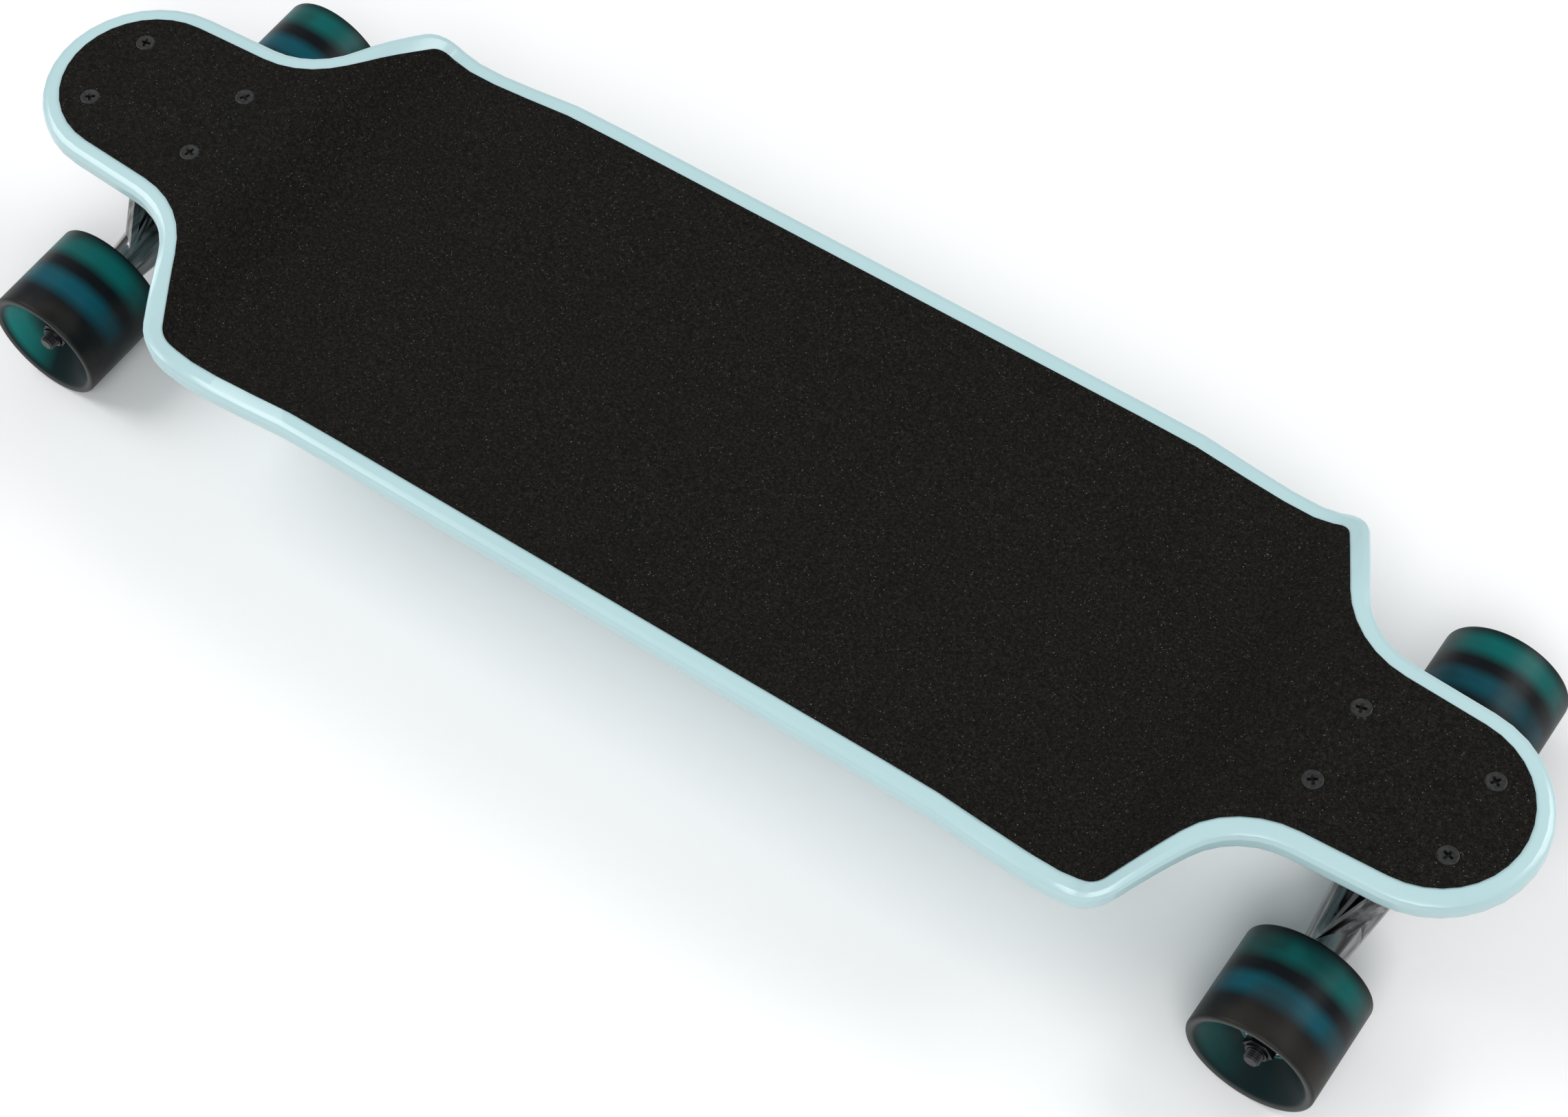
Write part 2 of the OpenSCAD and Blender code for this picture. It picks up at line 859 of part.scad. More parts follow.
// Outer half section of the core from its middle to its end, grown by extra
function core_side(extra) = [
    [core_d / 2 + extra, 0],
    [core_d / 2 + extra, bearing_out - core_cone],
    [funnel_root_r + core_rim.x + extra, bearing_out - core_rim.y],
    [funnel_root_r + extra, bearing_out - core_rim.y],
    [funnel_root_r + extra, bearing_out]];

function reversed(points) = [for (k = [len(points) - 1:-1:0]) points[k]];

// Half section above z = 0 followed by its mirror image
function mirrored(points) = concat(points, [for (p = reversed(points)) [p.x, -p.y]]);

module core(end, side)
    color(teal)
        at_wheel(end, side)
            difference() {
                rotate_extrude()
                    polygon(mirrored(concat([[5, bearing_out]], reversed(core_side(0)))));
                // Seats for the two bearings, with a rib between them
                cylinder(r = outer_land_r + 0.5, h = 3 * bearing_w, center = true);
                for (z = [-bearing_out - 1, bearing_in])
                    translate([0, 0, z])
                        cylinder(r = bearing_d / 2 + bond_gap, h = bearing_w + 1);
            }

module tyre(end, side) {
    lip_z = wheel_w / 2 - lip_r;
    color(smoky_urethane)
        at_wheel(end, side)
            rotate_extrude($fn = 96)
                polygon(mirrored(concat(
                    core_side(bond_gap),
                    [[mouth_r - mouth_cut.x, wheel_w / 2 - mouth_cut.y], [mouth_r, wheel_w / 2]],
                    [for (angle = [90:-15:0])
                        [wheel_d / 2 - lip_r + lip_r * cos(angle), lip_z + lip_r * sin(angle)]])));
}

deck();
grip_tape();

riser_pad(front);  // front_riser_pad
baseplate(front);  // front_baseplate
pivot_cup(front);  // front_pivot_cup
kingpin(front);  // front_kingpin
kingpin_nut(front);  // front_kingpin_nut
upper_washer(front);  // front_upper_washer
lower_washer(front);  // front_lower_washer
upper_bushing(front);  // front_upper_bushing
lower_bushing(front);  // front_lower_bushing
deck_screws(front);  // front_deck_screws
deck_nuts(front);  // front_deck_nuts
hanger(front);  // front_hanger
axle(front);  // front_axle
axle_nuts(front);  // front_axle_nuts
speed_washers(front);  // front_speed_washers
bearing_inner_rings(front);  // front_bearing_inner_rings
bearing_spacers(front);  // front_bearing_spacers

riser_pad(rear);  // rear_riser_pad
baseplate(rear);  // rear_baseplate
pivot_cup(rear);  // rear_pivot_cup
kingpin(rear);  // rear_kingpin
kingpin_nut(rear);  // rear_kingpin_nut
upper_washer(rear);  // rear_upper_washer
lower_washer(rear);  // rear_lower_washer
upper_bushing(rear);  // rear_upper_bushing
lower_bushing(rear);  // rear_lower_bushing
deck_screws(rear);  // rear_deck_screws
deck_nuts(rear);  // rear_deck_nuts
hanger(rear);  // rear_hanger
axle(rear);  // rear_axle
axle_nuts(rear);  // rear_axle_nuts
speed_washers(rear);  // rear_speed_washers
bearing_inner_rings(rear);  // rear_bearing_inner_rings
bearing_spacers(rear);  // rear_bearing_spacers

tyre(front, left);  // front_left_tyre
core(front, left);  // front_left_core
bearing_outer_rings(front, left);  // front_left_bearing_outer_rings
bearing_shields(front, left);  // front_left_bearing_shields
bearing_cages(front, left);  // front_left_bearing_cages
bearing_balls(front, left);  // front_left_bearing_balls
tyre(front, right);  // front_right_tyre
core(front, right);  // front_right_core
bearing_outer_rings(front, right);  // front_right_bearing_outer_rings
bearing_shields(front, right);  // front_right_bearing_shields
bearing_cages(front, right);  // front_right_bearing_cages
bearing_balls(front, right);  // front_right_bearing_balls
tyre(rear, left);  // rear_left_tyre
core(rear, left);  // rear_left_core
bearing_outer_rings(rear, left);  // rear_left_bearing_outer_rings
bearing_shields(rear, left);  // rear_left_bearing_shields
bearing_cages(rear, left);  // rear_left_bearing_cages
bearing_balls(rear, left);  // rear_left_bearing_balls
tyre(rear, right);  // rear_right_tyre
core(rear, right);  // rear_right_core
bearing_outer_rings(rear, right);  // rear_right_bearing_outer_rings
bearing_shields(rear, right);  // rear_right_bearing_shields
bearing_cages(rear, right);  // rear_right_bearing_cages
bearing_balls(rear, right);  // rear_right_bearing_balls
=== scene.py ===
import json
import math

import bpy
from mathutils import Matrix, Vector


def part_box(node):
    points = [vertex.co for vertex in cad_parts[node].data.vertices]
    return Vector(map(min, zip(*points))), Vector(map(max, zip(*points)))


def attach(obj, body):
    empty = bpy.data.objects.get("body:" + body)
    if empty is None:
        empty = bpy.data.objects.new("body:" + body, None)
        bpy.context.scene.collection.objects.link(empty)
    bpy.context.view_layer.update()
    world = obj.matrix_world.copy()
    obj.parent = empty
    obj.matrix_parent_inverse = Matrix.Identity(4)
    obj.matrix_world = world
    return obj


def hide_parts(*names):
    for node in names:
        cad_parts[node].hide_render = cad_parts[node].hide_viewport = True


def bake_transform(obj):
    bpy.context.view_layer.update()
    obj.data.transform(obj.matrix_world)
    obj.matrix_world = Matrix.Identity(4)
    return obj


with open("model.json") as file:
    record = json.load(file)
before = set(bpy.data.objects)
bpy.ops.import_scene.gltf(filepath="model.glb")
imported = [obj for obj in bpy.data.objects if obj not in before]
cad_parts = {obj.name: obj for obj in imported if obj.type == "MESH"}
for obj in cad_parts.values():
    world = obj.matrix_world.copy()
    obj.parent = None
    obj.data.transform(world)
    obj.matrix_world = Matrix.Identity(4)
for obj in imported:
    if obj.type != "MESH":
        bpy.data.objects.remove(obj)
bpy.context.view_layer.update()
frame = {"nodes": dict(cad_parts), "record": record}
nodes = frame["nodes"]
scene = bpy.context.scene
ends = ("front", "rear")
sides = ("left", "right")
mm = 0.001
print("frame loaded:", len(nodes), "nodes")


def middleOf(node):
    low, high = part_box(node)
    return (low + high) / 2


def deselectAll():
    for thing in bpy.context.selected_objects:
        thing.select_set(False)


def makeActive(piece):
    deselectAll()
    piece.select_set(True)
    bpy.context.view_layer.objects.active = piece


def editMode(on):
    bpy.ops.object.mode_set(mode="EDIT" if on else "OBJECT")


def addModifier(piece, kind, **settings):
    modifier = piece.modifiers.new(kind.lower(), kind)
    for name, value in settings.items():
        setattr(modifier, name, value)
    return modifier


def applyModifiers(piece):
    makeActive(piece)
    for modifier in list(piece.modifiers):
        bpy.ops.object.modifier_apply(modifier=modifier.name)


def smoothByAngle(piece, degrees):
    makeActive(piece)
    bpy.ops.object.shade_smooth_by_angle(angle=math.radians(degrees))


def camelName(node):
    words = node.split("_")
    return words[0] + "".join(word.capitalize() for word in words[1:])


copyShape = {"weldWithin": 0.004 * mm, "spinWeld": 0.005 * mm, "flatWithin": math.radians(0.4)}


def nodeCopy(node, name=None):
    # a welded copy with its own mesh, flat areas back in one face
    piece = bpy.data.objects.new(name or camelName(node), nodes[node].data.copy())
    scene.collection.objects.link(piece)
    makeActive(piece)
    bpy.ops.mesh.customdata_custom_splitnormals_clear()
    editMode(True)
    bpy.ops.mesh.select_all(action="SELECT")
    bpy.ops.mesh.remove_doubles(threshold=copyShape["weldWithin"])
    bpy.ops.mesh.dissolve_limited(angle_limit=copyShape["flatWithin"])
    editMode(False)
    piece.data.materials.clear()
    return piece


edgeShape = {"segments": 2, "fromAngle": 30, "smoothAngle": 40}


def softenEdges(piece, width):
    addModifier(piece, "BEVEL", width=width, segments=edgeShape["segments"], limit_method="ANGLE",
                angle_limit=math.radians(edgeShape["fromAngle"]), miter_outer="MITER_ARC")
    applyModifiers(piece)
    smoothByAngle(piece, edgeShape["smoothAngle"])


def dress(piece, material, slot, *replaced):
    piece.data.materials.clear()
    piece.data.materials.append(material)
    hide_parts(*replaced)


def finishPiece(piece, material, body, slot, *replaced):
    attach(piece, body)
    dress(piece, material, slot, *replaced)


class Recipe:
    # a short way to write node materials: add gives a node, wire joins two sockets
    def __init__(self, name):
        self.material = bpy.data.materials.new(name)
        self.material.use_nodes = True
        self.tree = self.material.node_tree
        self.shader = self.tree.nodes["Principled BSDF"]
        self.coordinates = self.add("ShaderNodeTexCoord")

    def add(self, kind, **settings):
        node = self.tree.nodes.new(kind)
        for name, value in settings.items():
            setattr(node, name, value)
        return node

    def wire(self, start, end):
        self.tree.links.new(start, end)

    def base(self, **values):
        names = {"metallic": "Metallic", "roughness": "Roughness", "coat": "Coat Weight",
                 "coatRoughness": "Coat Roughness", "specular": "Specular IOR Level",
                 "subsurface": "Subsurface Weight", "subsurfaceScale": "Subsurface Scale"}
        for name, value in values.items():
            self.shader.inputs[names[name]].default_value = value

    def noise(self, scale, detail=3, roughness=0.5, stretch=None):
        texture = self.add("ShaderNodeTexNoise")
        texture.inputs["Scale"].default_value = scale
        texture.inputs["Detail"].default_value = detail
        texture.inputs["Roughness"].default_value = roughness
        self.place(texture, stretch)
        return texture

    def cells(self, scale):
        texture = self.add("ShaderNodeTexVoronoi")
        texture.inputs["Scale"].default_value = scale
        self.place(texture, None)
        return texture

    def place(self, texture, stretch):
        # patterns lie on the piece's own place in the frame
        source = self.coordinates.outputs["Object"]
        if stretch:
            mapping = self.add("ShaderNodeMapping")
            mapping.inputs["Scale"].default_value = stretch
            self.wire(source, mapping.inputs["Vector"])
            source = mapping.outputs["Vector"]
        self.wire(source, texture.inputs["Vector"])

    def ramp(self, source, stops):
        # stops are (position, colour or grey)
        node = self.add("ShaderNodeValToRGB")
        elements = node.color_ramp.elements
        while len(elements) < len(stops):
            elements.new(1)
        for element, (position, colour) in zip(elements, stops):
            element.position = position
            element.color = (*colour, 1) if isinstance(colour, tuple) else (colour, colour, colour, 1)
        self.wire(source, node.inputs["Fac"])
        return node.outputs["Color"]

    def mix(self, factor, first, second, blend="MIX"):
        node = self.add("ShaderNodeMix", data_type="RGBA", blend_type=blend)
        sockets = (node.inputs[0], node.inputs[6], node.inputs[7])  # factor and the two colours
        for socket, value in zip(sockets, (factor, first, second)):
            if isinstance(value, tuple):
                socket.default_value = (*value, 1)
            elif isinstance(value, (int, float)):
                socket.default_value = value
            else:
                self.wire(value, socket)
        return node.outputs[2]

    def colour(self, value):
        if isinstance(value, tuple):
            self.shader.inputs["Base Color"].default_value = (*value, 1)
        else:
            self.wire(value, self.shader.inputs["Base Color"])

    def roughness(self, source, low, high):
        node = self.add("ShaderNodeMapRange")
        node.inputs["To Min"].default_value = low
        node.inputs["To Max"].default_value = high
        self.wire(source, node.inputs["Value"])
        self.wire(node.outputs["Result"], self.shader.inputs["Roughness"])

    def bump(self, source, strength, depth):
        node = self.add("ShaderNodeBump")
        node.inputs["Strength"].default_value = strength
        node.inputs["Distance"].default_value = depth
        self.wire(source, node.inputs["Height"])
        last = self.shader.inputs["Normal"]
        if last.is_linked:
            self.wire(last.links[0].from_socket, node.inputs["Normal"])
        self.wire(node.outputs["Normal"], last)


paintLook = {
    "light": (0.425, 0.602, 0.620), "dark": (0.405, 0.578, 0.598), "scuffed": (0.30, 0.45, 0.46),
    "roughness": (0.26, 0.36), "cloudScale": 9, "scuffScale": 140, "orangePeelScale": 420,
}


def deckPaint():
    recipe = Recipe("deckPaint")
    recipe.base(coat=0.35, coatRoughness=0.12, specular=0.5)
    clouds = recipe.noise(paintLook["cloudScale"], 4)
    tone = recipe.ramp(clouds.outputs["Fac"], [(0.35, paintLook["dark"]), (0.65, paintLook["light"])])
    marks = recipe.noise(paintLook["scuffScale"], 5, 0.7)
    scuffs = recipe.ramp(marks.outputs["Fac"], [(0.70, 0.0), (0.78, 0.35)])
    recipe.colour(recipe.mix(scuffs, tone, paintLook["scuffed"]))
    recipe.roughness(recipe.noise(160, 3).outputs["Fac"], *paintLook["roughness"])
    recipe.bump(recipe.noise(paintLook["orangePeelScale"], 2).outputs["Fac"], 0.25, 0.00012)
    return recipe.material


gripLook = {
    "dark": (0.0018, 0.0017, 0.0012), "light": (0.0235, 0.0215, 0.0165), "glint": (0.50, 0.47, 0.40),
    "grain": 2700, "sparkle": 0.28, "patchScale": 26, "clumpScale": 620, "grainDepth": 0.00028,
}


def gritSheet():
    recipe = Recipe("gritSheet")
    recipe.base(specular=0.12, roughness=0.8)
    grains = recipe.cells(gripLook["grain"])
    shade = recipe.add("ShaderNodeSeparateColor")
    recipe.wire(grains.outputs["Color"], shade.inputs["Color"])
    grainTone = recipe.ramp(shade.outputs["Red"], [(0.1, gripLook["dark"]), (0.95, gripLook["light"])])
    wide, close = recipe.noise(gripLook["patchScale"], 5, 0.6), recipe.noise(gripLook["clumpScale"], 3, 0.6)
    patches = recipe.ramp(wide.outputs["Fac"], [(0.35, 0.85), (0.7, 1.0)])
    clumps = recipe.ramp(close.outputs["Fac"], [(0.36, 0.20), (0.66, 1.0)])
    mottled = recipe.mix(1.0, recipe.mix(1.0, grainTone, patches, "MULTIPLY"), clumps, "MULTIPLY")
    glint = recipe.ramp(shade.outputs["Green"], [(0.9925, 0.0), (0.9995, gripLook["sparkle"])])
    recipe.colour(recipe.mix(glint, mottled, gripLook["glint"]))
    recipe.bump(grains.outputs["Distance"], 0.9, gripLook["grainDepth"])
    return recipe.material


def metal(name, colour, low, high, grainScale, bumpDepth=0.00001):
    recipe = Recipe(name)
    recipe.base(metallic=1.0)
    grain = recipe.noise(grainScale, 4, 0.6)
    darker = tuple(channel * 0.82 for channel in colour)
    recipe.colour(recipe.ramp(recipe.noise(38, 3).outputs["Fac"], [(0.3, darker), (0.7, colour)]))
    recipe.roughness(grain.outputs["Fac"], low, high)
    recipe.bump(grain.outputs["Fac"], 0.3, bumpDepth)
    return recipe.material


alloyLook = {"dark": 0.10, "light": 0.27, "paintedReflectionStreaks": (300, 6, 300), "fine": (620, 60, 620),
             "roughness": (0.08, 0.18)}


def reflectionStreakedAlloy():
    # buffed lengthwise along the axle, which gives the fine roughness streaks; the light and dark colour
    # streaks, long across the board, are painted reflections
    recipe = Recipe("polishedAlloy")
    recipe.base(metallic=1.0)
    paintedReflectionStreaks = recipe.noise(1.0, 3, 0.55, alloyLook["paintedReflectionStreaks"])
    fine = recipe.noise(1.0, 4, 0.6, alloyLook["fine"])
    reflectionTones = [(0.42, alloyLook["dark"]), (0.62, alloyLook["light"])]
    # the base colour carries painted reflections: dark alloy with light streaks
    recipe.colour(recipe.ramp(paintedReflectionStreaks.outputs["Fac"], reflectionTones))
    recipe.roughness(fine.outputs["Fac"], *alloyLook["roughness"])
    recipe.bump(fine.outputs["Fac"], 0.2, 0.00002)
    return recipe.material


def blackOxide():
    # the screw's cross is marked by an attribute and painted near black, a painted shade in the recess
    recipe = Recipe("blackOxide")
    recipe.base(metallic=0.35)
    worn = recipe.noise(700, 4, 0.65)
    sunk = recipe.add("ShaderNodeAttribute", attribute_name="sunk").outputs["Fac"]
    steel = recipe.ramp(worn.outputs["Fac"], [(0.35, 0.013), (0.72, 0.036)])
    recipe.colour(recipe.mix(sunk, steel, (0.0008, 0.0008, 0.0008)))
    recipe.roughness(worn.outputs["Fac"], 0.32, 0.5)
    recipe.bump(worn.outputs["Fac"], 0.3, 0.00002)
    return recipe.material


def rubberLook(name, dark, light, low=0.5, high=0.7, grainScale=900):
    recipe = Recipe(name)
    recipe.base(specular=0.4)
    grain = recipe.noise(grainScale, 3)
    recipe.colour(recipe.ramp(recipe.noise(60, 3).outputs["Fac"], [(0.3, dark), (0.7, light)]))
    recipe.roughness(grain.outputs["Fac"], low, high)
    recipe.bump(grain.outputs["Fac"], 0.25, 0.00004)
    return recipe.material


def urethaneLook(name, dark, light, subsurface=0.15, roughness=(0.25, 0.4)):
    recipe = Recipe(name)
    recipe.base(subsurface=subsurface, subsurfaceScale=0.004, coat=0.15, coatRoughness=0.2)
    recipe.shader.inputs["Subsurface Radius"].default_value = (0.3, 1.0, 0.9)
    recipe.colour(recipe.ramp(recipe.noise(90, 3).outputs["Fac"], [(0.3, dark), (0.7, light)]))
    recipe.roughness(recipe.noise(500, 3).outputs["Fac"], *roughness)
    return recipe.material


# glow is a painted glow of light through the urethane; glowAmount sets how strongly each end's funnels are
# painted glowing
wheelLook = {
    "smoke": (0.0150, 0.0132, 0.0108), "murk": (0.0020, 0.0032, 0.0042), "night": (0.0003, 0.0024, 0.0044),
    "lip": (0.050, 0.054, 0.051), "green": (0.0, 0.098, 0.092), "blue": (0.0, 0.066, 0.092),
    "glow": (0.0, 0.190, 0.175), "deep": (0.0, 0.009, 0.010), "glowAmount": {"front": 0.22, "rear": 1.0},
    "bands": [(0.05, "murk"), (0.16, "green"), (0.27, "green"), (0.38, "night"),
              (0.46, "night"), (0.56, "blue"), (0.66, "blue"), (0.78, "night")],
    "waver": 0.06, "roughness": (0.36, 0.5),
}


def wheelUrethane():
    # smoked urethane whose dye shows as soft bands; the bands are painted brighter on the tread's upper
    # side, a painted light from above, and the funnel carries a painted glow
    recipe = Recipe("wheelUrethane")
    recipe.base(subsurface=0.08, subsurfaceScale=0.003, coat=0.02, coatRoughness=0.3, specular=0.14)
    recipe.shader.inputs["Subsurface Radius"].default_value = (0.3, 1.0, 1.0)
    across, reach, rise, along, lit = (
        recipe.add("ShaderNodeAttribute", attribute_name=name).outputs["Fac"]
        for name in ("across", "reach", "rise", "along", "glowing"))
    look = wheelLook
    patches = recipe.ramp(recipe.noise(34, 3).outputs["Fac"], [(0.40, 0.0), (0.60, 1.0)])
    smoke = recipe.mix(patches, look["smoke"], look["murk"])
    waver = recipe.add("ShaderNodeMath", operation="MULTIPLY_ADD")
    recipe.wire(recipe.noise(30, 2).outputs["Fac"], waver.inputs[0])
    waver.inputs[1].default_value = look["waver"]
    recipe.wire(across, waver.inputs[2])
    bands = recipe.ramp(waver.outputs["Value"], [(place, look[dye]) for place, dye in look["bands"]])
    cloud = recipe.ramp(recipe.noise(26, 2).outputs["Fac"], [(0.34, 0.45), (0.48, 0.9), (0.60, 1.0)])
    # painted light: the bands grow brighter towards the top of the tread
    paintedTopLight = recipe.ramp(rise, [(0.55, 0.06), (0.86, 1.0)])
    nearLip = recipe.ramp(waver.outputs["Value"], [(0.74, 1.0), (0.90, 0.0)])
    strength = recipe.mix(1.0, recipe.mix(1.0, cloud, paintedTopLight, "MULTIPLY"), nearLip, "MULTIPLY")
    tread = recipe.mix(strength, smoke, bands)
    # painted glow in the funnel, brighter towards one side and scaled by each end's glowAmount
    onSide = recipe.ramp(along, [(0.55, look["deep"]), (0.90, look["glow"])])
    depth = recipe.ramp(reach, [(0.42, 0.0), (0.60, 1.0), (0.78, 0.9), (0.86, 0.0)])
    funnel = recipe.mix(recipe.mix(1.0, depth, lit, "MULTIPLY"), look["deep"], onSide)
    funnelLip = recipe.ramp(reach, [(0.86, 0.0), (0.90, 1.0)])
    face = recipe.mix(funnelLip, funnel, look["lip"])
    onTread = recipe.ramp(reach, [(0.95, 0.0), (0.99, 1.0)])
    recipe.colour(recipe.mix(onTread, face, tread))
    recipe.roughness(recipe.noise(240, 4, 0.6).outputs["Fac"], *look["roughness"])
    recipe.bump(recipe.noise(900, 2).outputs["Fac"], 0.15, 0.00004)
    return recipe.material


looks = {
    "deck_paint": deckPaint(),
    "grip": gritSheet(),
    "black_rubber": rubberLook("blackRubber", (0.012, 0.012, 0.013), (0.026, 0.026, 0.028)),
    "polished_alloy": reflectionStreakedAlloy(),
    "cast_alloy": metal("castAlloy", (0.36, 0.36, 0.37), 0.16, 0.30, 420, 0.00002),
    "dark_steel": metal("darkSteel", (0.055, 0.055, 0.058), 0.26, 0.42, 900),
    "plated_steel": metal("platedSteel", (0.58, 0.58, 0.57), 0.22, 0.36, 700),
    "black_screws": blackOxide(),
    "bushing": urethaneLook("bushingUrethane", (0.0, 0.16, 0.15), (0.0, 0.24, 0.22)),
    "bearing_steel": metal("bearingSteel", (0.68, 0.69, 0.71), 0.12, 0.2, 1200),
    "shield": rubberLook("shieldBlack", (0.012, 0.012, 0.014), (0.02, 0.02, 0.022), 0.28, 0.4),
    "cage": rubberLook("cageNylon", (0.62, 0.60, 0.53), (0.72, 0.70, 0.63), 0.4, 0.55),
    "wheel_urethane": wheelUrethane(),
    "wheel_core": urethaneLook("coreTeal", (0.0, 0.085, 0.085), (0.0, 0.13, 0.125)),
}
print("materials made:", len(looks))


studio = {
    "place": (0.5253, -0.6575, 1.2917), "turn": (32.665, 1.754, 34.745), "lens": 74.09, "sensor": 36,
    "floorSize": 14, "floorTone": (0.89, 0.91), "skyColour": (0.95, 0.97, 1.0), "skyStrength": 0.41,
    "softbox": 1.6,  # side of each softbox
    "lights": {  # place, what it points at, power
        "keySoftbox": ((1.1, -1.9, 2.3), (0, 0, 0), 44.5),
        "sideSoftbox": ((-2.1, -0.5, 2.1), (-0.1, 0, 0), 40),
        "backSoftbox": ((1.7, 1.9, 2.0), (0.1, 0.1, 0), 42),
    },
}


def areaLight(name, place, target, power):
    light = bpy.data.lights.new(name, "AREA")
    light.shape = "RECTANGLE"
    light.size = light.size_y = studio["softbox"]
    light.energy = power
    lamp = bpy.data.objects.new(name, light)
    scene.collection.objects.link(lamp)
    lamp.location = place
    lamp.rotation_euler = (Vector(target) - Vector(place)).to_track_quat("-Z", "Y").to_euler()


def makeCamera():
    camera = bpy.data.cameras.new("studioCamera")
    camera.sensor_width = studio["sensor"]
    camera.lens = studio["lens"]
    camera.clip_start = 0.01
    tripod = bpy.data.objects.new("studioCamera", camera)
    scene.collection.objects.link(tripod)
    tripod.location = studio["place"]
    tripod.rotation_euler = [math.radians(angle) for angle in studio["turn"]]
    scene.camera = tripod


def makeStudio():
    makeCamera()
    deselectAll()
    bpy.ops.mesh.primitive_plane_add(size=studio["floorSize"], location=(0, 0, 0))
    floor = bpy.context.active_object
    floor.name = "studioFloor"
    recipe = Recipe("paleFloor")
    recipe.base(specular=0.2)
    darkest, lightest = studio["floorTone"]
    recipe.colour(recipe.ramp(recipe.noise(3, 2).outputs["Fac"], [(0.3, darkest), (0.7, lightest)]))
    recipe.roughness(recipe.noise(40, 2).outputs["Fac"], 0.75, 0.85)
    floor.data.materials.append(recipe.material)

    world = bpy.data.worlds.new("studioWorld")
    scene.world = world
    world.use_nodes = True
    sky = world.node_tree.nodes["Background"]
    sky.inputs["Color"].default_value = (*studio["skyColour"], 1)
    sky.inputs["Strength"].default_value = studio["skyStrength"]
    for name, (place, target, power) in studio["lights"].items():
        areaLight(name, place, target, power)


makeStudio()
scene.view_settings.view_transform = "Standard"
print("studio ready")


deckTrim = {"edge": 0.8 * mm, "fromAngle": 20, "smoothAngle": 50}
gripTrim = {"edge": 0.25 * mm, "fromAngle": 60, "smoothAngle": 40}


def makeDeck():
    deck = nodeCopy("deck", "paintedDeck")
    addModifier(deck, "BEVEL", width=deckTrim["edge"], segments=2, limit_method="ANGLE",
                angle_limit=math.radians(deckTrim["fromAngle"]))
    applyModifiers(deck)
    smoothByAngle(deck, deckTrim["smoothAngle"])
    finishPiece(deck, looks["deck_paint"], "board", "deck_paint", "deck")


def makeGrip():
    grip = nodeCopy("grip_tape", "gripSheet")
    addModifier(grip, "BEVEL", width=gripTrim["edge"], segments=1, limit_method="ANGLE",
                angle_limit=math.radians(gripTrim["fromAngle"]))
    applyModifiers(grip)
    smoothByAngle(grip, gripTrim["smoothAngle"])
    finishPiece(grip, looks["grip"], "board", "grip", "grip_tape")


makeDeck()
makeGrip()
print("deck and grip made")


wheelShape = {
    "lipRound": 1.9 * mm, "innerLip": 3.2 * mm, "lipSteps": 6, "mouthRound": 1.0 * mm, "mouthSteps": 4,
    "face": 3.4 * mm, "root": 12.6 * mm, "rootStep": 1.4 * mm, "rootRise": 1.5 * mm, "coreTaper": 4 * mm,
    "gap": 0.02 * mm, "steps": 144, "smoothAngle": 35,
}


def spinProfile(name, points, rounded, axisPoint, steps, closed=True):
    # points are (distance from the axis, place along the axle)
    # rounded gives a point's radius and number of steps, by the point's number
    deselectAll()
    bpy.ops.mesh.primitive_plane_add(size=1 * mm, location=(0, 0, 0))
    piece = bpy.context.active_object
    piece.name = name
    editMode(True)
    bpy.ops.mesh.select_all(action="SELECT")
    bpy.ops.mesh.merge(type="CENTER")
    first = Vector((axisPoint.x + points[0][0], axisPoint.y + points[0][1], axisPoint.z))
    bpy.ops.transform.translate(value=first)
    for before, after in zip(points, points[1:]):
        step = (after[0] - before[0], after[1] - before[1], 0)
        bpy.ops.mesh.extrude_region_move(TRANSFORM_OT_translate={"value": step})
    editMode(False)
    if closed:
        count = len(points)
        editMode(True)
        bpy.ops.mesh.select_all(action="DESELECT")
        editMode(False)
        piece.data.vertices[0].select = True
        piece.data.vertices[count - 1].select = True
        editMode(True)
        bpy.ops.mesh.edge_face_add()
        editMode(False)
    corners = [(piece.data.vertices[number].co.copy(), radius) for number, radius in rounded.items()]
    for place, (radius, segments) in corners:
        editMode(True)
        bpy.ops.mesh.select_all(action="DESELECT")
        editMode(False)
        for vertex in piece.data.vertices:
            vertex.select = (vertex.co - place).length < 1e-6
        editMode(True)
        bpy.ops.mesh.bevel(offset=radius, segments=segments, affect="VERTICES")
        editMode(False)
    editMode(True)
    bpy.ops.mesh.select_all(action="SELECT")
    bpy.ops.mesh.spin(steps=steps, angle=2 * math.pi, center=axisPoint, axis=(0, 1, 0))
    bpy.ops.mesh.select_all(action="SELECT")
    bpy.ops.mesh.remove_doubles(threshold=copyShape["spinWeld"])
    bpy.ops.mesh.normals_make_consistent(inside=False)
    editMode(False)
    return piece


def tyreShape():
    low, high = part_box("front_left_tyre")
    radius = (high.x - low.x) / 2
    half = (high.y - low.y) / 2
    coreLow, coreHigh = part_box("front_left_core")
    coreRadius = (coreHigh.x - coreLow.x) / 2 + wheelShape["gap"]
    seat = (coreHigh.y - coreLow.y) / 2
    return radius, half, coreRadius, seat


def shareOut(piece, name, values):
    # one number a vertex, which the material reads by name
    piece.data.attributes.new(name, "FLOAT", "POINT").data.foreach_set("value", values)


